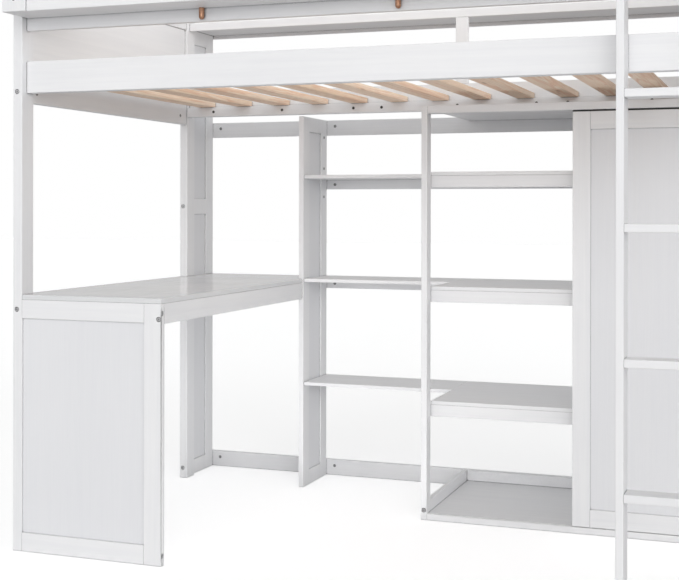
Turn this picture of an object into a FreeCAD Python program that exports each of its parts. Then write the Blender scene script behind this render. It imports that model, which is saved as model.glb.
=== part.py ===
"""Twin loft bed with a desk, rear shelves, a shelf block and a wardrobe behind one sliding door.

Every piece is drawn in working coordinates: X runs along the bed from the outer face of the
left posts, Y runs from the front face of the front posts to the back, Z is up from the floor.
save() moves each piece so that the origin is the floor point under the middle of the bed.
All sizes are millimetres.
"""
import FreeCAD, Part
import os

# ---------------------------------------------------------------- overall sizes
BED_LENGTH = 2020.0
REAR_POST_Y = 1031.0        # front face of the two rear bed posts
UNIT_BEHIND = 179.0         # how far the uprights and shelves reach behind the rear posts

# ---------------------------------------------------------------- timber sections
POST_W = 30.0
POST_D = 57.0
RAIL_T = 20.0
RAIL_SETBACK = 22.0         # side rail's outer face behind the post's outer face
END_RAIL_T = 22.0
BOARD_T = 18.0              # uprights, aprons and rear rails
PANEL_T = 6.0
MEMBER_W = 54.0             # stiles and rails of framed panels
REVEAL = 6.0                # step from a frame's face back to its panel

# ---------------------------------------------------------------- bed deck
DECK_RAIL_Z = 1318.0        # underside of the side rails; every height above it follows it
DECK_RAIL_H = 91.0
END_RAIL_DROP = 27.0        # the end rails hang this far below the side rails
POST_RISE = 311.0           # bed posts above the top of the side rails
LEDGER_H = 34.0
LEDGER_T = 16.0
SLAT_W = 57.0
SLAT_T = 18.0
SLAT_FIRST_X = 108.0        # middle of the first slat
SLAT_PITCH = 146.0
SLAT_END_GAP = 1.0

# ---------------------------------------------------------------- guards
GUARD_GAP = 88.0            # open height between the side rail and the guard
GUARD_LOW_H = 90.0
GUARD_TOP_H = 60.0
END_PANEL_T = 8.0
END_TOP_RAIL_H = 83.0
TRAY_RISE = 36.0            # the shelf box starts this far above the guard's lower edge
TRAY_H = 150.0
TRAY_FRONT_Y = -103.0
TRAY_SIDE_GAP = 4.0
TRAY_BOTTOM_T = 13.0
TRAY_STILE_W = 75.0
TRAY_FRONT_T = 18.0
TRAY_END_T = 12.0
TRAY_SCREW_RISE = 35.0
PEG_R = 7.5
PEG_LENGTH = 32.0
PEG_GAP = 1.0               # between a peg and the guard rail behind it
PEG_SHARES = (1.0 / 3.0, 2.0 / 3.0)

# ---------------------------------------------------------------- ladder
LADDER_W = 272.5
LADDER_RAIL_W = 19.5
LADDER_RAIL_D = 75.0
TREAD_TOP_Z = 311.0
TREAD_TOP_STEP = 138.0      # from the top tread to the top of the side rail
TREAD_COUNT = 4
TREAD_T = 20.0
TREAD_D = 62.0

# ---------------------------------------------------------------- rear unit and desk
UNIT_DROP = 6.5             # top of the shelf block below the side rail
UPRIGHT2_X = 467.0
UPRIGHT_STILE_W = 57.0
UPRIGHT_RAIL_H = 52.0
UPRIGHT_SCREW_DROPS = (65.0, 179.0, 283.0)
UPRIGHT_FRONT_GAP = 5.0     # middle upright starts this far behind the rear post's face
MID_RAIL_Z = 964.0
MID_RAIL_H = 57.0
REAR_UPPER_RAIL_H = 55.5
REAR_BOTTOM_RAIL_H = 57.5
SHELF_T = 12.0
SHELF_LOW_Z = 372.5         # top of the lowest shelf
SHELF_TOP_SPACE = 208.0     # from the top shelf's upper face to the top of the unit
SHELF_COUNT = 3
SHELF_RAIL_H = 35.0
APRON_H = 38.0
NARROW_SHELF_GAP = 9.0      # front edge behind the rear posts' front face
TOP_SHELF_RISE = 252.0      # rear shelf above the top of the side rails
TOP_SHELF_LIP_H = 27.0
TOP_SHELF_T = 15.0
BALUSTER_OFFSET = 25.0      # from the middle of the bed
BALUSTER_W = 43.0
LIP_T = 15.0
DESK_Z = 737.0
DESK_T = 14.0
DESK_REACH = 13.0           # desk edge past the near face of the middle upright
DESK_APRON_H = 57.0
DESK_FIT = 0.5              # clearance round the posts in the desk top's notches

# ---------------------------------------------------------------- shelf block and wardrobe
BLOCK_W = 987.0
BLOCK_D = 522.0
BLOCK_POST_W = 20.0
BLOCK_POST_D = 42.0
POST_SCREW_DROPS = (31.5, 210.5)
BASE_T = 20.5
BASE_BOARD_H = 37.0
BASE_BOARD_T = 12.0
BASE_SIDE_T = 16.0
TOP_RAIL_H = 24.5
TOP_PANEL_T = 12.5
DOOR_W = 487.0
DOOR_LAP = 3.0              # door edge past the wardrobe partition
DOOR_T = 18.0
DOOR_STILE_W = 54.0
DOOR_GAP_TOP = 5.5
DOOR_GAP_BOTTOM = 1.5
DOOR_GAP_SIDE = 2.0
DOOR_FRONT_GAP = 1.0
CHANNEL_W = 14.0
CHANNEL_H = 10.0
CHANNEL_WALL = 1.5
GLIDE_W = 9.0
GLIDE_L = 40.0
GLIDE_INSET = 60.0
GLIDE_SEAT = 0.3            # between a bottom glide and its channel
GLIDE_HEADROOM = 1.2        # between a top guide and its channel
STRIP_GAP = 1.0             # between the door's black top strip and the rail above it
ROD_R = 12.5
ROD_DROP = 60.0
FLANGE_R = 24.0
FLANGE_T = 6.0
FLANGE_WALL = 3.0

# ---------------------------------------------------------------- fasteners
BOLT_BORE_R = 7.0           # counterbore round a bolt's head
BOLT_SUNK = 2.2             # head below the face
BOLT_HEAD_R = 5.2
BOLT_HEAD_H = 3.5
BOLT_SHANK_R = 3.0
BOLT_REACH = 30.0           # how far a bolt goes into the second piece
BOLT_INSET = 12.0           # from the outer side of a bed post
END_BOLT_RISE = 30.0        # above the underside of the end rail
FOOT_BOLT_Z = 36.0
APRON_BOLT_DROP = 43.0      # below the top of the desk's side apron
BLOCK_BOLT_Z = 31.0
BOLT_CLEAR = 0.3
HEX_R = 2.4
HEX_DEPTH = 2.5
SCREW_HEAD_R = 4.5
SCREW_HEAD_H = 3.0
SCREW_FIRST_X = 135.0       # ledger screws come in groups of three
SCREW_PITCH = 269.0
SCREW_GROUP = 3
SCREW_GROUP_PITCH = 641.0
END_NUT_L = 9.0
END_NUT_INSETS = (24.0, 47.0)   # from the front post's back and the rear post's front
NUT_R = 5.0
NUT_L = 12.0
NUT_INSET = 50.0            # from the outer face of the upright beside it
NUT_RISE = 6.0              # above the middle of the upper and bottom rear rails

# ---------------------------------------------------------------- worked-out places
RIGHT_POST_X = BED_LENGTH - POST_W
END_RAIL_Z = DECK_RAIL_Z - END_RAIL_DROP
TOP_Z = DECK_RAIL_Z + DECK_RAIL_H + POST_RISE
END_PANEL_TOP_Z = TOP_Z - END_TOP_RAIL_H
RAIL_IN_Y = RAIL_SETBACK + RAIL_T
BACK_RAIL_Y = REAR_POST_Y + POST_D - RAIL_SETBACK - RAIL_T
REAR_POST_BACK_Y = REAR_POST_Y + POST_D
UNIT_BACK_Y = REAR_POST_BACK_Y + UNIT_BEHIND
DECK_TOP_Z = DECK_RAIL_Z + DECK_RAIL_H
GUARD_LOW_Z = DECK_TOP_Z + GUARD_GAP
TRAY_Z = GUARD_LOW_Z + TRAY_RISE
TRAY_LEFT_X = POST_W + TRAY_SIDE_GAP
TOP_SHELF_Z = DECK_TOP_Z + TOP_SHELF_RISE
UNIT_TOP_Z = DECK_RAIL_Z - UNIT_DROP
LEDGER_TOP_Z = DECK_RAIL_Z + LEDGER_H
END_RAIL_INSET = (POST_W - END_RAIL_T) / 2.0
UPRIGHT2_Y = REAR_POST_Y + UPRIGHT_FRONT_GAP
LADDER_X = RIGHT_POST_X - LADDER_W
LADDER_BACK_Y = RAIL_SETBACK
LADDER_FRONT_Y = LADDER_BACK_Y - LADDER_RAIL_D
LADDER_RIGHT_X = RIGHT_POST_X - LADDER_RAIL_W
TREAD_PITCH = (DECK_TOP_Z - TREAD_TOP_STEP - TREAD_TOP_Z) / (TREAD_COUNT - 1)
SLAT_ROOM = RIGHT_POST_X - SLAT_FIRST_X - SLAT_W / 2.0
SLAT_COUNT = int(SLAT_ROOM / SLAT_PITCH) + 1
BALUSTER_X = BED_LENGTH / 2.0 + BALUSTER_OFFSET
NARROW_SHELF_Y = REAR_POST_Y + NARROW_SHELF_GAP
DESK_RIGHT_X = UPRIGHT2_X + DESK_REACH
DESK_APRON_TOP = DESK_Z - DESK_T
LIP_Y = BACK_RAIL_Y
LIP_Z = TOP_SHELF_Z - TOP_SHELF_LIP_H
SHELF_PITCH = (UNIT_TOP_Z - SHELF_TOP_SPACE - SHELF_LOW_Z) / (SHELF_COUNT - 1)
SHELF_TOPS = [SHELF_LOW_Z + SHELF_PITCH * k for k in range(SHELF_COUNT)]
BLOCK_X = RIGHT_POST_X - BLOCK_W
TOP_RAIL_Z = UNIT_TOP_Z - TOP_RAIL_H
BLOCK_Y = UNIT_BACK_Y - BLOCK_D
WIDE_SHELF_X = BLOCK_X + BLOCK_POST_W
BLOCK_POST_BACK_Y = BLOCK_Y + BLOCK_POST_D
RIGHT_BLOCK_POST_X = RIGHT_POST_X - BLOCK_POST_W
RIGHT_PANEL_X = RIGHT_POST_X - BOARD_T
DOOR_Y = BLOCK_Y + DOOR_FRONT_GAP
DOOR_Z0 = BASE_T + DOOR_GAP_BOTTOM
DOOR_Z1 = TOP_RAIL_Z - DOOR_GAP_TOP
DOOR_RIGHT_X = RIGHT_BLOCK_POST_X - DOOR_GAP_SIDE
DOOR_LEFT_X = DOOR_RIGHT_X - DOOR_W
PARTITION_X = DOOR_LEFT_X + DOOR_LAP
CHANNEL_Y = DOOR_Y + (DOOR_T - CHANNEL_W) / 2.0
TOP_PANEL_Z = UNIT_TOP_Z - TOP_PANEL_T
UNIT_REAR_Y = UNIT_BACK_Y + BOARD_T
ORIGIN = FreeCAD.Vector(BED_LENGTH / 2.0, (TRAY_FRONT_Y + UNIT_REAR_Y) / 2.0, 0.0)


# ---------------------------------------------------------------- helpers
def block(x0, x1, y0, y1, z0, z1):
    """A plain board between two opposite corners."""
    return Part.makeBox(x1 - x0, y1 - y0, z1 - z0, FreeCAD.Vector(x0, y0, z0))


def rod(x, y, z, direction, radius, length):
    """A cylinder that starts at a point and runs along a direction."""
    return Part.makeCylinder(radius, length, FreeCAD.Vector(x, y, z), FreeCAD.Vector(*direction))


def save(name, solids):
    """Move the pieces of one node to the part's frame and write them."""
    moved = []
    for solid in solids:
        piece = solid.copy()
        piece.translate(FreeCAD.Vector(-ORIGIN.x, -ORIGIN.y, -ORIGIN.z))
        moved.append(piece)
    shape = moved[0] if len(moved) == 1 else Part.makeCompound(moved)
    shape.exportStep("parts/" + name + ".step")


def let_in_heads(solid, points, direction):
    """Sink screw heads flush into a face of the piece, and keep them for saving at the end."""
    for x, y, z in points:
        head = rod(x, y, z, direction, SCREW_HEAD_R, SCREW_HEAD_H)
        SCREW_HEADS.append(head)
        solid = solid.cut(head)
    return solid


class Bolts:
    """Collects bolts and cuts the holes that they need."""

    def __init__(self):
        self.places = []

    def add(self, x, y, z, direction, through):
        """A bolt whose head sits in a counterbore in the face at the point."""
        self.places.append((x, y, z, direction, through))

    def seat(self, place):
        """The point where a bolt's head starts, just under the face."""
        x, y, z, (dx, dy, dz) = place[:4]
        return x + dx * BOLT_SUNK, y + dy * BOLT_SUNK, z + dz * BOLT_SUNK

    def solids(self):
        made = []
        for place in self.places:
            x, y, z = self.seat(place)
            direction, through = place[3:]
            head = rod(x, y, z, direction, BOLT_HEAD_R, BOLT_HEAD_H)
            shank = rod(x, y, z, direction, BOLT_SHANK_R, through + BOLT_REACH - BOLT_SUNK)
            socket = rod(x, y, z, direction, HEX_R, HEX_DEPTH)
            made.append(head.fuse(shank).removeSplitter().cut(socket))
        return made

    def cutters(self):
        made = []
        for x, y, z, direction, through in self.places:
            counterbore = rod(x, y, z, direction, BOLT_BORE_R, BOLT_SUNK + BOLT_HEAD_H)
            hole_l = through + BOLT_REACH + BOLT_CLEAR
            hole = rod(x, y, z, direction, BOLT_SHANK_R + BOLT_CLEAR, hole_l)
            made.append(counterbore.fuse(hole))
        return made

    def drill(self, solid):
        """Cut every bolt hole that reaches into a piece."""
        for cutter in self.cutters():
            if cutter.BoundBox.intersect(solid.BoundBox):
                solid = solid.cut(cutter)
        return solid


BOLTS = Bolts()
SCREW_HEADS = []
BARREL_NUTS = []


def place_bolts():
    """Every bolt joins a post or stile to the end of the rail behind it."""
    along_y = (0.0, 1.0, 0.0)
    along_x = (-1.0, 0.0, 0.0)
    for x in (BOLT_INSET, BED_LENGTH - BOLT_INSET):
        BOLTS.add(x, 0.0, END_RAIL_Z + END_BOLT_RISE, along_y, POST_D)
        BOLTS.add(x, REAR_POST_Y, MID_RAIL_Z + MID_RAIL_H / 2.0, along_y, POST_D)
        BOLTS.add(x, REAR_POST_Y, FOOT_BOLT_Z, along_y, POST_D)
    BOLTS.add(BOLT_INSET, 0.0, DESK_APRON_TOP - DESK_APRON_H / 2.0, along_y, POST_D)
    apron_mid = DESK_RIGHT_X - BOARD_T / 2.0
    BOLTS.add(apron_mid, 0.0, DESK_APRON_TOP - APRON_BOLT_DROP, along_y, BOARD_T)
    side_y = BOARD_T / 2.0
    BOLTS.add(DESK_RIGHT_X, side_y, DESK_APRON_TOP - MEMBER_W / 2.0, along_x, MEMBER_W)
    BOLTS.add(DESK_RIGHT_X, side_y, MEMBER_W / 2.0, along_x, MEMBER_W)
    block_bolt_x = BLOCK_X + BLOCK_POST_W / 2.0
    BOLTS.add(block_bolt_x, BLOCK_Y, BLOCK_BOLT_Z, along_y, BLOCK_POST_D)


# ---------------------------------------------------------------- bed frame
def bed_posts():
    for side, x in (("left", 0.0), ("right", RIGHT_POST_X)):
        front = block(x, x + POST_W, 0.0, POST_D, 0.0, TOP_Z)
        rear = block(x, x + POST_W, REAR_POST_Y, REAR_POST_BACK_Y, 0.0, TOP_Z)
        save("front_" + side + "_post", [BOLTS.drill(front)])
        save("rear_" + side + "_post", [BOLTS.drill(rear)])


def side_rails():
    front = block(POST_W, RIGHT_POST_X, RAIL_SETBACK, RAIL_IN_Y, DECK_RAIL_Z, DECK_TOP_Z)
    back = block(POST_W, RIGHT_POST_X, BACK_RAIL_Y, BACK_RAIL_Y + RAIL_T, DECK_RAIL_Z, DECK_TOP_Z)
    save("front_side_rail", [front])
    save("back_side_rail", [back])


def bed_ends():
    """At each end: a deep rail under the deck, a guard panel on it and a rail along the top."""
    rails = []
    top_rails = []
    panels = []
    panel_inset = (POST_W - END_PANEL_T) / 2.0
    nut_z = END_RAIL_Z + END_BOLT_RISE
    nut_ys = (POST_D + END_NUT_INSETS[0], REAR_POST_Y - END_NUT_INSETS[1])
    for post_x, inward in ((0.0, 1.0), (RIGHT_POST_X, -1.0)):
        x0 = post_x + END_RAIL_INSET
        x1 = x0 + END_RAIL_T
        rail = BOLTS.drill(block(x0, x1, POST_D, REAR_POST_Y, END_RAIL_Z, DECK_TOP_Z))
        inner_x = x1 if inward > 0.0 else x0
        for y in nut_ys:
            nut = rod(inner_x, y, nut_z, (-inward, 0.0, 0.0), NUT_R, END_NUT_L)
            BARREL_NUTS.append(nut)
            rail = rail.cut(nut)
        rails.append(rail)
        top_rails.append(block(x0, x1, POST_D, REAR_POST_Y, END_PANEL_TOP_Z, TOP_Z))
        x0 = post_x + panel_inset
        x1 = x0 + END_PANEL_T
        panels.append(block(x0, x1, POST_D, REAR_POST_Y, DECK_TOP_Z, END_PANEL_TOP_Z))
    save("end_rails", rails)
    save("end_guard_top_rails", top_rails)
    save("end_guard_panels", panels)


def ledger_screw_xs():
    """Groups of three along the ledger, as far as it runs."""
    places = []
    x = SCREW_FIRST_X
    while x < RIGHT_POST_X - SCREW_HEAD_R * 2.0:
        places += [x + SCREW_PITCH * k for k in range(SCREW_GROUP)]
        x += SCREW_GROUP_PITCH
    return [x for x in places if x < RIGHT_POST_X - SCREW_HEAD_R * 2.0]


def slat_ledgers():
    z = DECK_RAIL_Z + LEDGER_H / 2.0
    ledgers = []
    for y0, face_y, into in (
        (RAIL_IN_Y, RAIL_IN_Y + LEDGER_T, -1.0),
        (BACK_RAIL_Y - LEDGER_T, BACK_RAIL_Y - LEDGER_T, 1.0),
    ):
        ledger = block(POST_W, RIGHT_POST_X, y0, y0 + LEDGER_T, DECK_RAIL_Z, LEDGER_TOP_Z)
        points = [(x, face_y, z) for x in ledger_screw_xs()]
        ledgers.append(let_in_heads(ledger, points, (0.0, into, 0.0)))
    save("slat_ledgers", ledgers)


def slats():
    y0 = RAIL_IN_Y + SLAT_END_GAP
    y1 = BACK_RAIL_Y - SLAT_END_GAP
    pieces = []
    for k in range(SLAT_COUNT):
        x0 = SLAT_FIRST_X + SLAT_PITCH * k - SLAT_W / 2.0
        pieces.append(block(x0, x0 + SLAT_W, y0, y1, LEDGER_TOP_Z, LEDGER_TOP_Z + SLAT_T))
    save("slats", pieces)


# ---------------------------------------------------------------- front guard and its shelf box
def front_guard():
    right = LADDER_X + LADDER_RAIL_W
    low_top = GUARD_LOW_Z + GUARD_LOW_H
    save("guard_lower_rail", [block(POST_W, right, RAIL_SETBACK, RAIL_IN_Y, GUARD_LOW_Z, low_top)])
    top_z = TRAY_Z + TRAY_H - GUARD_TOP_H
    top = block(POST_W, right, RAIL_SETBACK, RAIL_IN_Y, top_z, TRAY_Z + TRAY_H)
    save("guard_upper_rail", [top])


def guard_shelf_box():
    right = LADDER_X
    z1 = TRAY_Z + TRAY_H
    z_floor = TRAY_Z + TRAY_BOTTOM_T
    inner_y = TRAY_FRONT_Y + TRAY_FRONT_T
    bottom = block(TRAY_LEFT_X, right, inner_y, RAIL_SETBACK, TRAY_Z, z_floor)
    save("guard_shelf_bottom", [bottom])
    stiles = []
    for x0 in (TRAY_LEFT_X, right - TRAY_STILE_W):
        stile = block(x0, x0 + TRAY_STILE_W, TRAY_FRONT_Y, inner_y, TRAY_Z, z1)
        point = (x0 + TRAY_STILE_W / 2.0, TRAY_FRONT_Y, TRAY_Z + TRAY_SCREW_RISE)
        stiles.append(let_in_heads(stile, [point], (0.0, 1.0, 0.0)))
    save("guard_shelf_stiles", stiles)
    panel_x0 = TRAY_LEFT_X + TRAY_STILE_W
    panel = block(panel_x0, right - TRAY_STILE_W, TRAY_FRONT_Y + REVEAL, inner_y, TRAY_Z, z1)
    save("guard_shelf_front", [panel])
    ends = [
        block(TRAY_LEFT_X, TRAY_LEFT_X + TRAY_END_T, inner_y, RAIL_SETBACK, z_floor, z1),
        block(right - TRAY_END_T, right, inner_y, RAIL_SETBACK, z_floor, z1),
    ]
    save("guard_shelf_ends", ends)


def shelf_pegs():
    """Round-ended pegs that hang from the shelf box just in front of the guard rail."""
    y = RAIL_SETBACK - PEG_R - PEG_GAP
    span = LADDER_X - TRAY_LEFT_X
    pegs = []
    for share in PEG_SHARES:
        x = TRAY_LEFT_X + span * share
        stem = rod(x, y, TRAY_Z, (0.0, 0.0, -1.0), PEG_R, PEG_LENGTH - PEG_R)
        tip = Part.makeSphere(PEG_R, FreeCAD.Vector(x, y, TRAY_Z - PEG_LENGTH + PEG_R))
        pegs.append(stem.fuse(tip).removeSplitter())
    save("guard_shelf_pegs", pegs)


# ---------------------------------------------------------------- ladder
def ladder():
    top = TRAY_Z + TRAY_H
    rails = []
    for x in (LADDER_X, LADDER_RIGHT_X):
        rails.append(block(x, x + LADDER_RAIL_W, LADDER_FRONT_Y, LADDER_BACK_Y, 0.0, top))
    save("ladder_rails", rails)
    x0 = LADDER_X + LADDER_RAIL_W
    y1 = LADDER_FRONT_Y + TREAD_D
    treads = []
    for k in range(TREAD_COUNT):
        z1 = TREAD_TOP_Z + TREAD_PITCH * k
        treads.append(block(x0, LADDER_RIGHT_X, LADDER_FRONT_Y, y1, z1 - TREAD_T, z1))
    save("ladder_treads", treads)


# ---------------------------------------------------------------- uprights and rear rails
def end_uprights():
    """Frame-and-panel uprights behind the rear bed posts, up to the top shelf."""
    y0 = REAR_POST_BACK_Y
    y1 = UNIT_BACK_Y
    stile_y = y1 - UPRIGHT_STILE_W
    z_top = TOP_SHELF_Z - TOP_SHELF_T
    rail_zs = [
        (0.0, UPRIGHT_RAIL_H),
        (MID_RAIL_Z, MID_RAIL_Z + MID_RAIL_H),
        (z_top - UPRIGHT_RAIL_H, z_top),
    ]
    panel_inset = (BOARD_T - PANEL_T) / 2.0
    frames = []
    panels = []
    for x in (0.0, BED_LENGTH - BOARD_T):
        frame = block(x, x + BOARD_T, y0, y1, 0.0, z_top)
        for lower, upper in zip(rail_zs[:-1], rail_zs[1:]):
            z0 = lower[1]
            z1 = upper[0]
            window = block(x, x + BOARD_T, y0, stile_y, z0, z1)
            frame = frame.cut(window)
            panels.append(block(x + panel_inset, x + panel_inset + PANEL_T, y0, stile_y, z0, z1))
        frames.append(BOLTS.drill(frame))
    save("end_upright_frames", frames)
    save("end_upright_panels", panels)


def middle_upright():
    x0 = UPRIGHT2_X
    x1 = UPRIGHT2_X + BOARD_T
    y0 = UPRIGHT2_Y + UPRIGHT_STILE_W
    y1 = UNIT_BACK_Y - UPRIGHT_STILE_W
    z0 = UPRIGHT_RAIL_H
    z1 = UNIT_TOP_Z - UPRIGHT_RAIL_H
    window = block(x0, x1, y0, y1, z0, z1)
    frame = block(x0, x1, UPRIGHT2_Y, UNIT_BACK_Y, 0.0, UNIT_TOP_Z).cut(window)
    stile_y = UNIT_BACK_Y - UPRIGHT_STILE_W / 2.0
    points = [(x1, stile_y, UNIT_TOP_Z - drop) for drop in UPRIGHT_SCREW_DROPS]
    save("middle_upright_frame", [let_in_heads(frame, points, (-1.0, 0.0, 0.0))])
    inset = (BOARD_T - PANEL_T) / 2.0
    panel = block(x0 + inset, x0 + inset + PANEL_T, y0, y1, z0, z1)
    save("middle_upright_panel", [panel])


def rear_rails():
    y0 = UNIT_BACK_Y
    y1 = UNIT_REAR_Y
    spans = {
        "upper": (UNIT_TOP_Z - REAR_UPPER_RAIL_H, UNIT_TOP_Z),
        "bottom": (0.0, REAR_BOTTOM_RAIL_H),
    }
    for name, (z0, z1) in spans.items():
        rail = block(0.0, BED_LENGTH, y0, y1, z0, z1)
        z = (z0 + z1) / 2.0 + NUT_RISE
        for x in (NUT_INSET, UPRIGHT2_X + NUT_INSET):
            nut = rod(x, y0, z, (0.0, 1.0, 0.0), NUT_R, NUT_L)
            BARREL_NUTS.append(nut)
            rail = rail.cut(nut)
        save("rear_" + name + "_rail", [rail])
    shelf_rails = []
    for top in SHELF_TOPS:
        z1 = top - SHELF_T
        z0 = z1 - SHELF_RAIL_H
        rail = block(UPRIGHT2_X, BED_LENGTH, y0, y1, z0, z1)
        nut = rod(UPRIGHT2_X + NUT_INSET, y0, (z0 + z1) / 2.0, (0.0, 1.0, 0.0), NUT_R, NUT_L)
        BARREL_NUTS.append(nut)
        shelf_rails.append(rail.cut(nut))
    save("rear_shelf_rails", shelf_rails)


def top_shelf():
    x0 = POST_W
    x1 = RIGHT_POST_X
    lip = block(x0, x1, LIP_Y, LIP_Y + LIP_T, LIP_Z, TOP_SHELF_Z)
    save("top_shelf_lip", [lip])
    board_z = TOP_SHELF_Z - TOP_SHELF_T
    board = block(x0, x1, LIP_Y + LIP_T, UNIT_BACK_Y, board_z, TOP_SHELF_Z)
    left_ear = block(0.0, x0, REAR_POST_BACK_Y, UNIT_BACK_Y, board_z, TOP_SHELF_Z)
    right_ear = block(x1, BED_LENGTH, REAR_POST_BACK_Y, UNIT_BACK_Y, board_z, TOP_SHELF_Z)
    board = board.fuse([left_ear, right_ear]).removeSplitter()
    save("top_shelf_board", [board])
    rear = block(0.0, BED_LENGTH, UNIT_BACK_Y, UNIT_REAR_Y, LIP_Z, TOP_SHELF_Z)
    save("top_shelf_rear_rail", [rear])
    x2 = BALUSTER_X + BALUSTER_W
    baluster = block(BALUSTER_X, x2, LIP_Y, LIP_Y + LIP_T, DECK_TOP_Z, LIP_Z)
    save("back_baluster", [baluster])


# ---------------------------------------------------------------- shelves
def narrow_shelves():
    x0 = UPRIGHT2_X + BOARD_T
    shelves = []
    for top in SHELF_TOPS:
        shelves.append(block(x0, WIDE_SHELF_X, NARROW_SHELF_Y, UNIT_BACK_Y, top - SHELF_T, top))
    save("narrow_shelves", shelves)


def wide_shelves():
    y0 = BLOCK_POST_BACK_Y
    boards = []
    aprons = []
    for top in SHELF_TOPS:
        z = top - SHELF_T
        boards.append(block(WIDE_SHELF_X, PARTITION_X, y0, UNIT_BACK_Y, z, top))
        aprons.append(block(BLOCK_X, PARTITION_X, y0, y0 + BOARD_T, z - APRON_H, z))
    save("wide_shelves", boards)
    save("shelf_aprons", aprons)


# ---------------------------------------------------------------- block carcass
def block_carcass():
    post = block(BLOCK_X, WIDE_SHELF_X, BLOCK_Y, BLOCK_POST_BACK_Y, 0.0, UNIT_TOP_Z)
    post_y = BLOCK_Y + BLOCK_POST_D / 2.0
    points = [(BLOCK_X, post_y, UNIT_TOP_Z - drop) for drop in POST_SCREW_DROPS]
    post = let_in_heads(post, points, (1.0, 0.0, 0.0))
    save("block_left_post", [BOLTS.drill(post)])
    right_post = block(RIGHT_BLOCK_POST_X, RIGHT_POST_X, BLOCK_Y, BLOCK_POST_BACK_Y, BASE_T, UNIT_TOP_Z)
    save("block_right_post", [right_post])
    partition = block(
        PARTITION_X, PARTITION_X + BOARD_T, BLOCK_POST_BACK_Y, UNIT_BACK_Y, BASE_T, TOP_PANEL_Z)
    save("wardrobe_partition", [partition])
    side = block(RIGHT_PANEL_X, RIGHT_POST_X, BLOCK_POST_BACK_Y, UNIT_BACK_Y, BASE_T, TOP_PANEL_Z)
    save("wardrobe_side_panel", [side])
    top = block(WIDE_SHELF_X, RIGHT_POST_X, BLOCK_POST_BACK_Y, UNIT_BACK_Y, TOP_PANEL_Z, UNIT_TOP_Z)
    save("block_top_panel", [top])


def channel(x0, x1, mouth_z, up):
    """A U-shaped plastic channel, and the space that it takes from the board it is let into."""
    y0 = CHANNEL_Y
    y1 = CHANNEL_Y + CHANNEL_W
    z_back = mouth_z + CHANNEL_H * up
    z_wall = mouth_z + (CHANNEL_H - CHANNEL_WALL) * up
    groove = block(x0, x1, y0, y1, min(mouth_z, z_back), max(mouth_z, z_back))
    hollow = block(
        x0, x1, y0 + CHANNEL_WALL, y1 - CHANNEL_WALL,
        min(mouth_z, z_wall), max(mouth_z, z_wall))
    return groove.cut(hollow), groove


def top_rail_base_and_tracks():
    x0 = WIDE_SHELF_X
    x1 = RIGHT_BLOCK_POST_X
    top_track, top_groove = channel(x0, x1, TOP_RAIL_Z, 1.0)
    rail = block(x0, x1, BLOCK_Y, BLOCK_POST_BACK_Y, TOP_RAIL_Z, UNIT_TOP_Z)
    save("block_top_rail", [rail.cut(top_groove)])
    bottom_track, bottom_groove = channel(x0, x1, BASE_T, -1.0)
    base = block(x0, RIGHT_POST_X, BLOCK_Y, UNIT_BACK_Y, 0.0, BASE_T)
    save("block_base", [base.cut(bottom_groove)])
    save("door_tracks", [top_track, bottom_track])


def base_boards():
    z1 = BASE_T + BASE_BOARD_H
    x0 = WIDE_SHELF_X - BASE_SIDE_T
    x1 = WIDE_SHELF_X
    side = block(x0, x1, BLOCK_POST_BACK_Y, UNIT_BACK_Y, 0.0, z1)
    back = block(x1, PARTITION_X, UNIT_BACK_Y - BASE_BOARD_T, UNIT_BACK_Y, BASE_T, z1)
    save("base_rim_boards", [BOLTS.drill(side), back])


def hanging_rod():
    x0 = PARTITION_X + BOARD_T
    x1 = RIGHT_PANEL_X
    y = (BLOCK_POST_BACK_Y + UNIT_BACK_Y) / 2.0
    z = TOP_PANEL_Z - ROD_DROP
    flanges = []
    for x, direction in ((x0, 1.0), (x1, -1.0)):
        cup = rod(x, y, z, (direction, 0.0, 0.0), FLANGE_R, FLANGE_T)
        bore_x = x + direction * FLANGE_WALL
        bore = rod(bore_x, y, z, (direction, 0.0, 0.0), ROD_R + BOLT_CLEAR, FLANGE_T)
        flanges.append(cup.cut(bore))
    save("rod_flanges", flanges)
    bar = rod(x0 + FLANGE_WALL, y, z, (1.0, 0.0, 0.0), ROD_R, x1 - x0 - FLANGE_WALL * 2.0)
    save("hanging_rod", [bar])


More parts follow.
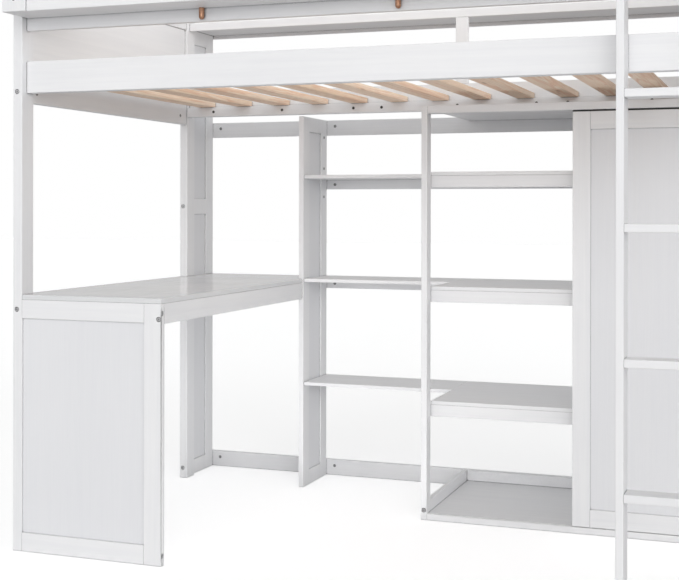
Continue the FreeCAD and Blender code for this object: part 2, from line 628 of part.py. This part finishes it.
# ---------------------------------------------------------------- sliding door
def sliding_door():
    x0 = DOOR_LEFT_X
    x1 = DOOR_RIGHT_X
    y0 = DOOR_Y
    y1 = DOOR_Y + DOOR_T
    z0 = DOOR_Z0
    z1 = DOOR_Z1
    in_x0 = x0 + DOOR_STILE_W
    in_x1 = x1 - DOOR_STILE_W
    save("door_stiles", [block(x0, in_x0, y0, y1, z0, z1), block(in_x1, x1, y0, y1, z0, z1)])
    save("door_top_rail", [block(in_x0, in_x1, y0, y1, z1 - DOOR_STILE_W, z1)])
    save("door_bottom_rail", [block(in_x0, in_x1, y0, y1, z0, z0 + DOOR_STILE_W)])
    panel_y0 = y0 + REVEAL
    panel = block(in_x0, in_x1, panel_y0, panel_y0 + PANEL_T, z0 + DOOR_STILE_W, z1 - DOOR_STILE_W)
    save("door_panel", [panel])
    glide_y = CHANNEL_Y + (CHANNEL_W - GLIDE_W) / 2.0
    top_reach = TOP_RAIL_Z + CHANNEL_H - CHANNEL_WALL - GLIDE_HEADROOM
    low_reach = BASE_T - CHANNEL_H + CHANNEL_WALL + GLIDE_SEAT
    strip = block(x0, x1, CHANNEL_Y, CHANNEL_Y + CHANNEL_W, z1, TOP_RAIL_Z - STRIP_GAP)
    glides = []
    for x in (x0 + GLIDE_INSET, x1 - GLIDE_INSET - GLIDE_L):
        tongue = block(x, x + GLIDE_L, glide_y, glide_y + GLIDE_W, z1, top_reach)
        strip = strip.fuse(tongue).removeSplitter()
        glides.append(block(x, x + GLIDE_L, glide_y, glide_y + GLIDE_W, low_reach, z0))
    glides.append(strip)
    save("door_glides", glides)


# ---------------------------------------------------------------- desk
def desk_top():
    z0 = DESK_APRON_TOP
    top = block(0.0, DESK_RIGHT_X, 0.0, UNIT_BACK_Y, z0, DESK_Z)
    notches = [
        (0.0, POST_W, 0.0, POST_D),
        (0.0, POST_W, REAR_POST_Y, REAR_POST_BACK_Y),
        (0.0, BOARD_T, REAR_POST_BACK_Y, UNIT_BACK_Y),
        (UPRIGHT2_X, DESK_RIGHT_X, UPRIGHT2_Y, UNIT_BACK_Y),
    ]
    for x0, x1, y0, y1 in notches:
        grown = block(
            x0 - DESK_FIT, x1 + DESK_FIT, y0 - DESK_FIT, y1 + DESK_FIT, z0, DESK_Z)
        top = top.cut(grown)
    save("desk_top", [top])


def desk_front_panel():
    """Framed panel that closes the desk's front end, with the bed post as its left stile."""
    x0 = POST_W
    x1 = DESK_RIGHT_X - MEMBER_W
    z1 = DESK_APRON_TOP
    stile = block(x1, DESK_RIGHT_X, 0.0, BOARD_T, 0.0, z1)
    save("desk_front_stile", [BOLTS.drill(stile)])
    top_rail = block(x0, x1, 0.0, BOARD_T, z1 - MEMBER_W, z1)
    save("desk_front_top_rail", [BOLTS.drill(top_rail)])
    bottom_rail = block(x0, x1, 0.0, BOARD_T, 0.0, MEMBER_W)
    save("desk_front_bottom_rail", [BOLTS.drill(bottom_rail)])
    panel = block(x0, x1, REVEAL, REVEAL + PANEL_T, MEMBER_W, z1 - MEMBER_W)
    save("desk_front_panel", [panel])


def desk_aprons():
    z1 = DESK_APRON_TOP
    z0 = z1 - DESK_APRON_H
    right = block(DESK_RIGHT_X - BOARD_T, DESK_RIGHT_X, BOARD_T, UPRIGHT2_Y, z0, z1)
    save("desk_right_apron", [BOLTS.drill(right)])
    left_x = BOLT_INSET - BOARD_T / 2.0
    left = block(left_x, left_x + BOARD_T, POST_D, REAR_POST_Y, z0, z1)
    save("desk_left_apron", [BOLTS.drill(left)])


def build():
    os.makedirs("parts", exist_ok=True)
    place_bolts()
    bed_posts()
    side_rails()
    bed_ends()
    slat_ledgers()
    slats()
    front_guard()
    guard_shelf_box()
    shelf_pegs()
    ladder()
    end_uprights()
    middle_upright()
    rear_rails()
    top_shelf()
    narrow_shelves()
    wide_shelves()
    block_carcass()
    top_rail_base_and_tracks()
    base_boards()
    hanging_rod()
    sliding_door()
    desk_top()
    desk_front_panel()
    desk_aprons()
    save("frame_bolts", BOLTS.solids())
    save("wood_screws", SCREW_HEADS)
    save("barrel_nuts", BARREL_NUTS)


build()
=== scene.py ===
"""Looks of the loft bed: painted boards, bare pine slats, metal and plastic parts, studio light."""
import math

import bpy
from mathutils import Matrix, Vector


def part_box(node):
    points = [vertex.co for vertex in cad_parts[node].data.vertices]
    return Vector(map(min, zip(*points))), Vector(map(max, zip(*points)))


# ---------------------------------------------------------------- pieces by the way their grain runs
GRAIN_X = (
    "back_side_rail", "block_base", "block_top_panel", "block_top_rail", "desk_front_bottom_rail",
    "desk_front_top_rail", "door_bottom_rail", "door_top_rail", "front_side_rail",
    "guard_lower_rail", "guard_shelf_bottom", "guard_shelf_front", "guard_upper_rail",
    "ladder_treads", "narrow_shelves", "rear_bottom_rail", "rear_shelf_rails", "rear_upper_rail",
    "shelf_aprons", "slat_ledgers", "top_shelf_board", "top_shelf_lip", "top_shelf_rear_rail",
    "wide_shelves",
)
GRAIN_Y = (
    "base_rim_boards", "desk_left_apron", "desk_right_apron", "end_guard_top_rails", "end_rails",
    "end_guard_panels", "guard_shelf_ends",
)
GRAIN_Z = (
    "back_baluster", "block_left_post", "block_right_post", "desk_front_stile", "door_stiles",
    "end_upright_frames", "front_left_post", "front_right_post", "guard_shelf_stiles",
    "ladder_rails", "middle_upright_frame", "rear_left_post", "rear_right_post",
    "wardrobe_partition", "wardrobe_side_panel",
)
PANELS = ("desk_front_panel", "door_panel", "end_upright_panels", "middle_upright_panel")

# ---------------------------------------------------------------- edges, in metres
BOARD_EDGE = 0.0016
PANEL_EDGE = 0.0004
EDGE_ANGLE = math.radians(35.0)
EDGE_SEGMENTS = 2
WELD_GAP = 0.00001              # vertices nearer than this are one vertex
CREASE_SHADE_REACH = 0.008                  # how far from a joint the painted shade reaches

# ---------------------------------------------------------------- shared by the materials
WHITE = (1.0, 1.0, 1.0)
BOARD_JUMP = 37.0               # how far apart two slats' patterns lie
FINE_METAL = 900.0              # scratches per metre, about
COARSE_METAL = 500.0
ROD_METAL = 300.0

# ---------------------------------------------------------------- camera and light
CAMERA_PLACE = (1.1080, -3.6239, 0.9879)
CAMERA_YAW = math.radians(19.955)
CAMERA_PITCH = math.radians(-0.051)
CAMERA_ROLL = math.radians(-0.093)
CAMERA_LENS = 65.79
CAMERA_SHIFT = (-0.0081, -0.1193)
CAMERA_SENSOR = 36.0
CAMERA_REACH = 200.0
SKY_LOW = 1.05                  # at the horizon
SKY_HIGH = 0.22                 # overhead
SKY_GLOSS = 0.65                # what reflections see
KEY_FROM = Vector((0.10, -0.62, 0.12))
KEY_STRENGTH = 1.10
KEY_ANGLE = math.radians(60.0)  # also the fill's
FILL_FROM = Vector((0.75, -0.65, 0.06))
FILL_STRENGTH = 0.98
LOW_PANEL_POWER = 2.8
LOW_PANEL_Z = 0.01
LOW_PANEL_PART = 0.8            # of the slats' length, from the front
DECK_PANEL_X = 0.40
DECK_PANEL_POWER = 0.65
DECK_PANEL_SPREAD = math.radians(60.0)
FLOOR_GLOW = 0.42               # for the camera only
FLOOR_SIZE = 60.0
FLOOR_DROP = 0.0005             # keeps the floor from touching the feet


# ---------------------------------------------------------------- node helpers
class Graph:
    """A short way to build a material's nodes."""

    def __init__(self, name):
        self.material = bpy.data.materials.new(name)
        self.material.use_nodes = True
        self.tree = self.material.node_tree
        self.shader = self.tree.nodes["Principled BSDF"]
        self.place = self.add("ShaderNodeTexCoord").outputs["Object"]

    def add(self, kind, **settings):
        node = self.tree.nodes.new(kind)
        for key, value in settings.items():
            setattr(node, key, value)
        return node

    def link(self, source, target):
        self.tree.links.new(source, target)

    def stretched(self, scale, shift=None):
        """Object coordinates scaled on each axis, so that noise runs along a board."""
        mapping = self.add("ShaderNodeMapping")
        mapping.inputs["Scale"].default_value = scale
        self.link(self.place, mapping.inputs["Vector"])
        if shift is None:
            return mapping.outputs["Vector"]
        moved = self.add("ShaderNodeVectorMath", operation="ADD")
        self.link(mapping.outputs["Vector"], moved.inputs[0])
        self.link(shift, moved.inputs[1])
        return moved.outputs["Vector"]

    def noise(self, vector, scale=1.0, detail=4.0, roughness=0.55, distortion=0.0):
        node = self.add("ShaderNodeTexNoise")
        node.inputs["Scale"].default_value = scale
        node.inputs["Detail"].default_value = detail
        node.inputs["Roughness"].default_value = roughness
        node.inputs["Distortion"].default_value = distortion
        self.link(vector, node.inputs["Vector"])
        return node.outputs["Fac"]

    def ramp(self, value, stops):
        node = self.add("ShaderNodeValToRGB")
        elements = node.color_ramp.elements
        while len(elements) < len(stops):
            elements.new(0.5)
        for element, (position, color) in zip(elements, stops):
            element.position = position
            element.color = (*color, 1.0)
        self.link(value, node.inputs["Fac"])
        return node.outputs["Color"]

    def spread(self, value, low, high, start=0.3, end=0.7):
        """Map the middle of a noise onto a range."""
        node = self.add("ShaderNodeMapRange")
        node.inputs["From Min"].default_value = start
        node.inputs["From Max"].default_value = end
        node.inputs["To Min"].default_value = low
        node.inputs["To Max"].default_value = high
        self.link(value, node.inputs["Value"])
        return node.outputs["Result"]

    def mix(self, factor, first, second, blend="MIX"):
        node = self.add("ShaderNodeMix", data_type="RGBA", blend_type=blend)
        color_in = [s for s in node.inputs if s.type == "RGBA"]
        factor_in = [s for s in node.inputs if s.type == "VALUE"][0]
        for socket, value in ((factor_in, factor), (color_in[0], first), (color_in[1], second)):
            if isinstance(value, bpy.types.NodeSocket):
                self.link(value, socket)
            elif isinstance(value, tuple):
                socket.default_value = (*value, 1.0)
            else:
                socket.default_value = value
        return [s for s in node.outputs if s.type == "RGBA"][0]

    def multiply(self, first, second):
        return self.mix(1.0, first, second, "MULTIPLY")

    def math(self, operation, first, second=0.0):
        node = self.add("ShaderNodeMath", operation=operation)
        for socket, value in zip(node.inputs, (first, second)):
            if isinstance(value, bpy.types.NodeSocket):
                self.link(value, socket)
            else:
                socket.default_value = value
        return node.outputs["Value"]

    def bump(self, height, distance, strength=1.0, before=None):
        node = self.add("ShaderNodeBump")
        node.inputs["Strength"].default_value = strength
        node.inputs["Distance"].default_value = distance
        self.link(height, node.inputs["Height"])
        if before is not None:
            self.link(before, node.inputs["Normal"])
        return node.outputs["Normal"]

    def crease_shade(self, color):
        """Painted shade: darken a colour by ambient occlusion in tight joints and holes, where light
        is blocked and paint thins out.
        """
        node = self.add("ShaderNodeAmbientOcclusion", samples=6)
        node.inputs["Distance"].default_value = CREASE_SHADE_REACH
        # painted shade: the more closed in a spot is, the darker its colour, down to a tenth
        shade = self.ramp(node.outputs["AO"], [
            (0.10, (0.10, 0.10, 0.10)), (0.42, (0.66, 0.66, 0.665)), (0.72, WHITE)])
        return self.multiply(color, shade)

    def blend(self, first, second, share):
        """Two values added, the second by its share and the first by the rest."""
        first_part = self.math("MULTIPLY", first, 1.0 - share)
        second_part = self.math("MULTIPLY", second, share)
        return self.math("ADD", first_part, second_part)

    def finish(self, color, roughness, normal):
        self.link(color, self.shader.inputs["Base Color"])
        self.link(roughness, self.shader.inputs["Roughness"])
        self.link(normal, self.shader.inputs["Normal"])
        return self.material


def along(axis, length_scale, cross_scale):
    """Texture scale of a board: slow along its grain, fast across it."""
    scale = [cross_scale] * 3
    scale["xyz".index(axis)] = length_scale
    return tuple(scale)


# ---------------------------------------------------------------- materials
def white_paint(axis):
    """Satin white paint over solid timber, whose grain still shows a little."""
    g = Graph("white_paint_" + axis)
    grain = g.noise(g.stretched(along(axis, 6.0, 160.0)), detail=6.0, roughness=0.62, distortion=0.4)
    rings = g.noise(g.stretched(along(axis, 1.2, 34.0)), detail=3.0, distortion=1.2)
    patches = g.noise(g.place, scale=2.2, detail=3.0)
    dust = g.noise(g.place, scale=950.0, detail=2.0)
    tone = g.ramp(patches, [(0.32, (0.850, 0.852, 0.862)), (0.70, (0.880, 0.880, 0.886))])
    ring_tone = g.ramp(rings, [(0.38, (0.972, 0.972, 0.977)), (0.62, WHITE)])
    grain_tone = g.ramp(grain, [(0.30, (0.980, 0.980, 0.984)), (0.55, WHITE)])
    color = g.multiply(g.multiply(tone, ring_tone), grain_tone)
    roughness = g.spread(g.blend(patches, grain, 0.4), 0.33, 0.47)
    normal = g.bump(grain, 0.00035, 0.30)
    normal = g.bump(rings, 0.0010, 0.22, normal)
    normal = g.bump(dust, 0.00005, 0.25, normal)
    return g.finish(g.crease_shade(color), roughness, normal)


def panel_paint():
    """Thin board panels: the same paint, a little cooler, with fine upright streaks."""
    g = Graph("panel_paint")
    streaks = g.noise(g.stretched((420.0, 420.0, 7.0)), detail=5.0, roughness=0.6)
    bands = g.noise(g.stretched((52.0, 52.0, 0.9)), detail=3.0, distortion=0.5)
    patches = g.noise(g.place, scale=1.7, detail=2.0)
    tone = g.ramp(patches, [(0.32, (0.790, 0.794, 0.812)), (0.70, (0.815, 0.818, 0.833))])
    band_tone = g.ramp(bands, [(0.36, (0.991, 0.991, 0.993)), (0.64, WHITE)])
    streak_tone = g.ramp(streaks, [(0.30, (0.978, 0.979, 0.983)), (0.60, WHITE)])
    color = g.multiply(g.multiply(tone, band_tone), streak_tone)
    roughness = g.spread(streaks, 0.42, 0.56)
    normal = g.bump(streaks, 0.0002, 0.25)
    normal = g.bump(bands, 0.0005, 0.08, normal)
    return g.finish(g.crease_shade(color), roughness, normal)


def desk_paint():
    """The desk top's smoother, glossier white."""
    g = Graph("desk_paint")
    patches = g.noise(g.place, scale=3.0, detail=3.0)
    peel = g.noise(g.place, scale=260.0, detail=2.0)
    grain = g.noise(g.stretched((150.0, 5.0, 150.0)), detail=5.0, roughness=0.6, distortion=0.3)
    tone = g.ramp(patches, [(0.32, (0.745, 0.750, 0.762)), (0.70, (0.790, 0.792, 0.800))])
    grain_tone = g.ramp(grain, [(0.30, (0.975, 0.975, 0.98)), (0.60, WHITE)])
    color = g.multiply(tone, grain_tone)
    roughness = g.spread(g.blend(patches, grain, 0.5), 0.07, 0.14)
    normal = g.bump(peel, 0.0001, 0.12)
    normal = g.bump(grain, 0.0002, 0.12, normal)
    return g.finish(g.crease_shade(color), roughness, normal)


def pine(slat_pitch, first_edge):
    """Bare planed pine. Each slat is a different board, so the pattern jumps from slat to slat."""
    g = Graph("pine_slats")
    split = g.add("ShaderNodeSeparateXYZ")
    g.link(g.place, split.inputs["Vector"])
    steps = g.math("DIVIDE", g.math("SUBTRACT", split.outputs["X"], first_edge), slat_pitch)
    number = g.math("FLOOR", steps)
    random = g.add("ShaderNodeTexWhiteNoise", noise_dimensions="1D")
    g.link(number, random.inputs["W"])
    shift = g.add("ShaderNodeVectorMath", operation="SCALE")
    g.link(random.outputs["Color"], shift.inputs[0])
    shift.inputs["Scale"].default_value = BOARD_JUMP
    offset = shift.outputs["Vector"]
    rings = g.noise(g.stretched((42.0, 1.5, 60.0), offset), detail=4.0, roughness=0.5, distortion=1.1)
    fibre = g.noise(g.stretched((600.0, 9.0, 600.0), offset), detail=4.0, roughness=0.6)
    pale = g.ramp(rings, [
        (0.30, (0.93, 0.720, 0.555)), (0.44, (0.96, 0.790, 0.640)), (0.52, (0.86, 0.590, 0.430)),
        (0.58, (0.97, 0.820, 0.680)), (0.72, (0.94, 0.750, 0.585))])
    fibre_tone = g.ramp(fibre, [(0.32, (0.90, 0.87, 0.83)), (0.60, WHITE)])
    wood = g.multiply(pale, fibre_tone)
    board_tone = g.ramp(random.outputs["Value"], [
        (0.0, (0.93, 0.88, 0.83)), (0.5, (1.0, 0.98, 0.96)), (1.0, (0.97, 0.93, 0.90))])
    wood = g.multiply(wood, board_tone)
    knots = g.add("ShaderNodeTexVoronoi", feature="F1")
    knots.inputs["Scale"].default_value = 1.0
    g.link(g.stretched((17.0, 3.2, 9.0), offset), knots.inputs["Vector"])
    knot = g.spread(knots.outputs["Distance"], 0.8, 0.0, 0.02, 0.12)
    wood = g.mix(knot, wood, (0.36, 0.185, 0.085))
    roughness = g.spread(fibre, 0.50, 0.68)
    normal = g.bump(fibre, 0.0003, 0.35)
    normal = g.bump(rings, 0.0006, 0.20, normal)
    return g.finish(wood, roughness, normal)


def metal(name, dark, light, rough_low, rough_high, scale):
    """Plated metal with fine scratches and slightly uneven tone."""
    g = Graph(name)
    blotches = g.noise(g.place, scale=scale * 0.2, detail=3.0)
    scratches = g.noise(g.stretched((scale * 3.0, scale * 0.3, scale)), detail=4.0)
    color = g.ramp(blotches, [(0.32, dark), (0.68, light)])
    roughness = g.spread(scratches, rough_low, rough_high)
    g.shader.inputs["Metallic"].default_value = 1.0
    return g.finish(g.crease_shade(color), roughness, g.bump(scratches, 0.00003, 0.25))


def zinc():
    return metal("zinc", (0.60, 0.60, 0.61), (0.80, 0.80, 0.81), 0.24, 0.40, FINE_METAL)


def nut_steel():
    return metal("nut_steel", (0.24, 0.24, 0.24), (0.36, 0.36, 0.36), 0.30, 0.46, FINE_METAL)


def dark_steel():
    return metal("dark_steel", (0.05, 0.048, 0.045), (0.11, 0.105, 0.10), 0.35, 0.5, FINE_METAL)


def copper_brass():
    return metal("copper_brass", (0.40, 0.20, 0.12), (0.62, 0.36, 0.24), 0.24, 0.42, COARSE_METAL)


def chrome():
    return metal("chrome", (0.66, 0.66, 0.68), (0.80, 0.80, 0.81), 0.06, 0.16, ROD_METAL)


def plastic(name, dark, light, rough_low, rough_high):
    """Moulded or extruded plastic with a faint pebble."""
    g = Graph(name)
    blotches = g.noise(g.place, scale=30.0, detail=3.0)
    pebble = g.noise(g.place, scale=1600.0, detail=2.0)
    color = g.ramp(blotches, [(0.32, dark), (0.68, light)])
    roughness = g.spread(pebble, rough_low, rough_high)
    return g.finish(color, roughness, g.bump(pebble, 0.00004, 0.4))


def black_plastic():
    return plastic("black_plastic", (0.012, 0.012, 0.013), (0.022, 0.022, 0.023), 0.42, 0.6)


def white_plastic():
    return plastic("white_plastic", (0.76, 0.76, 0.76), (0.82, 0.82, 0.82), 0.35, 0.5)


def floor_material():
    """Pale floor, near white where the camera sees it. It throws back less light onto the object."""
    g = Graph("studio_floor")
    patches = g.noise(g.place, scale=0.8, detail=2.0)
    seen = g.ramp(patches, [(0.3, (0.925, 0.927, 0.930)), (0.7, (0.935, 0.936, 0.938))])
    path = g.add("ShaderNodeLightPath")
    color = g.mix(path.outputs["Is Camera Ray"], (0.74, 0.74, 0.745), seen)
    g.link(color, g.shader.inputs["Base Color"])
    g.link(g.spread(patches, 0.7, 0.8), g.shader.inputs["Roughness"])
    g.shader.inputs["Specular IOR Level"].default_value = 0.1
    g.shader.inputs["Emission Color"].default_value = (*WHITE, 1.0)
    glow = g.math("MULTIPLY", path.outputs["Is Camera Ray"], FLOOR_GLOW)
    g.link(glow, g.shader.inputs["Emission Strength"])
    return g.material


# ---------------------------------------------------------------- dressing the CAD nodes
def soften_edges(node, width):
    """Round the node's edges a little. Its own vertices stay where they are."""
    mesh = node.data
    if "custom_normal" in mesh.attributes:
        mesh.attributes.remove(mesh.attributes["custom_normal"])
    mesh.polygons.foreach_set("use_smooth", [False] * len(mesh.polygons))
    weld = node.modifiers.new("join", "WELD")
    weld.merge_threshold = WELD_GAP
    bevel = node.modifiers.new("edges", "BEVEL")
    bevel.width = width
    bevel.segments = EDGE_SEGMENTS
    bevel.limit_method = "ANGLE"
    bevel.angle_limit = EDGE_ANGLE
    bevel.use_clamp_overlap = False
    bevel.loop_slide = False


def dress(names, material, edge):
    """Give nodes a material, and rounded edges where a width is given."""
    for name in names:
        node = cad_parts[name]
        for slot in node.material_slots:
            slot.material = material
        if edge is not None:
            soften_edges(node, edge)


def slat_spacing():
    """Pitch of the slats and the place half a gap before the first, read from the frame's pieces."""
    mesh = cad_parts["slats"].data
    starts = sorted({round(v.co.x, 4) for v in mesh.vertices})
    return starts[2] - starts[0], starts[0] - (starts[2] - starts[1]) / 2.0


def dress_all():
    """Paint for the boards, bare pine for the slats, metal and plastic for the small parts."""
    for axis, names in (("x", GRAIN_X), ("y", GRAIN_Y), ("z", GRAIN_Z)):
        dress(names, white_paint(axis), BOARD_EDGE)
    dress(PANELS, panel_paint(), PANEL_EDGE)
    dress(("desk_top",), desk_paint(), BOARD_EDGE)
    dress(("slats",), pine(*slat_spacing()), BOARD_EDGE)
    dress(("frame_bolts",), zinc(), None)
    dress(("barrel_nuts",), nut_steel(), None)
    dress(("wood_screws",), dark_steel(), None)
    dress(("guard_shelf_pegs",), copper_brass(), None)
    dress(("hanging_rod", "rod_flanges"), chrome(), None)
    dress(("door_glides",), black_plastic(), None)
    dress(("door_tracks",), white_plastic(), None)


# ---------------------------------------------------------------- studio
def floor():
    """One wide pale square, just under the bed's feet."""
    mesh = bpy.data.meshes.new("studio_floor")
    half = FLOOR_SIZE / 2.0
    corners = [(-half, -half, 0.0), (half, -half, 0.0), (half, half, 0.0), (-half, half, 0.0)]
    mesh.from_pydata(corners, [], [(0, 1, 2, 3)])
    mesh.materials.append(floor_material())
    plane = bpy.data.objects.new("studio_floor", mesh)
    plane.location.z = -FLOOR_DROP
    bpy.context.scene.collection.objects.link(plane)


def sky():
    """A white studio: full white where the camera sees it, and brighter low down than overhead."""
    world = bpy.data.worlds.new("studio")
    world.use_nodes = True
    bpy.context.scene.world = world
    tree = world.node_tree
    back = tree.nodes["Background"]
    place = tree.nodes.new("ShaderNodeTexCoord")
    split = tree.nodes.new("ShaderNodeSeparateXYZ")
    height = tree.nodes.new("ShaderNodeMapRange")
    height.inputs["To Min"].default_value = SKY_LOW
    height.inputs["To Max"].default_value = SKY_HIGH
    path = tree.nodes.new("ShaderNodeLightPath")
    seen = tree.nodes.new("ShaderNodeMix")
    seen.inputs["B"].default_value = 1.0
    tree.links.new(place.outputs["Generated"], split.inputs["Vector"])
    tree.links.new(split.outputs["Z"], height.inputs["Value"])
    tree.links.new(path.outputs["Is Camera Ray"], seen.inputs["Factor"])
    gloss = tree.nodes.new("ShaderNodeMix")
    gloss.inputs["B"].default_value = SKY_GLOSS
    tree.links.new(path.outputs["Is Glossy Ray"], gloss.inputs["Factor"])
    tree.links.new(height.outputs["Result"], gloss.inputs["A"])
    tree.links.new(gloss.outputs["Result"], seen.inputs["A"])
    tree.links.new(seen.outputs["Result"], back.inputs["Strength"])
    back.inputs["Color"].default_value = (*WHITE, 1.0)


def sun(name, source, strength):
    """A very broad light from far away, so that shadows stay soft."""
    data = bpy.data.lights.new(name, "SUN")
    data.energy = strength
    data.angle = KEY_ANGLE
    light = bpy.data.objects.new(name, data)
    light.rotation_euler = source.to_track_quat("Z", "Y").to_euler()
    bpy.context.scene.collection.objects.link(light)


def soft_panel(name, place, facing, width, height, power, spread=math.pi):
    """A soft light that neither the camera nor a reflection sees."""
    data = bpy.data.lights.new(name, "AREA")
    data.shape = "RECTANGLE"
    data.size = width
    data.size_y = height
    data.energy = power
    data.spread = spread
    light = bpy.data.objects.new(name, data)
    light.location = place
    light.rotation_euler = Vector(facing).to_track_quat("-Z", "Y").to_euler()
    light.visible_camera = False
    light.visible_glossy = False
    bpy.context.scene.collection.objects.link(light)


def low_panel():
    """Lies on the floor under the desk half of the deck and opens up the undersides."""
    low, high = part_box("slats")
    width = (high.x - low.x) / 2.0
    depth = (high.y - low.y) * LOW_PANEL_PART
    place = (low.x + width / 2.0, low.y + depth / 2.0, LOW_PANEL_Z)
    soft_panel("low_panel", place, (0.0, 0.0, 1.0), width, depth, LOW_PANEL_POWER)


def deck_panel():
    """Stands across the right half of the deck and opens up the inside of its left end."""
    low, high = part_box("end_guard_panels")
    place = (DECK_PANEL_X, (low.y + high.y) / 2.0, (low.z + high.z) / 2.0)
    left = (-1.0, 0.0, 0.0)
    size = high - low
    soft_panel("deck_panel", place, left, size.y, size.z, DECK_PANEL_POWER, DECK_PANEL_SPREAD)


def camera():
    """Looks from the front and the right, a little below the deck."""
    data = bpy.data.cameras.new("camera")
    data.sensor_width = CAMERA_SENSOR
    data.lens = CAMERA_LENS
    data.shift_x, data.shift_y = CAMERA_SHIFT
    data.clip_end = CAMERA_REACH
    eye = bpy.data.objects.new("camera", data)
    eye.location = CAMERA_PLACE
    eye.rotation_euler = (math.pi / 2.0 + CAMERA_PITCH, CAMERA_ROLL, CAMERA_YAW)
    bpy.context.scene.collection.objects.link(eye)
    bpy.context.scene.camera = eye


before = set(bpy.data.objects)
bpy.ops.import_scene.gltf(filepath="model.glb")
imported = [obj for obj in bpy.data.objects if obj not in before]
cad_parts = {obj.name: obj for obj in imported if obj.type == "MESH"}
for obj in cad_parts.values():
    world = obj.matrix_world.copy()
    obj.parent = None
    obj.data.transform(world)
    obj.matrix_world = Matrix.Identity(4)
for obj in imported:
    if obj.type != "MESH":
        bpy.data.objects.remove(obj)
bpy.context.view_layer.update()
dress_all()
floor()
sky()
sun("key", KEY_FROM, KEY_STRENGTH)
sun("fill", FILL_FROM, FILL_STRENGTH)
low_panel()
deck_panel()
camera()
bpy.context.scene.view_settings.view_transform = "Standard"
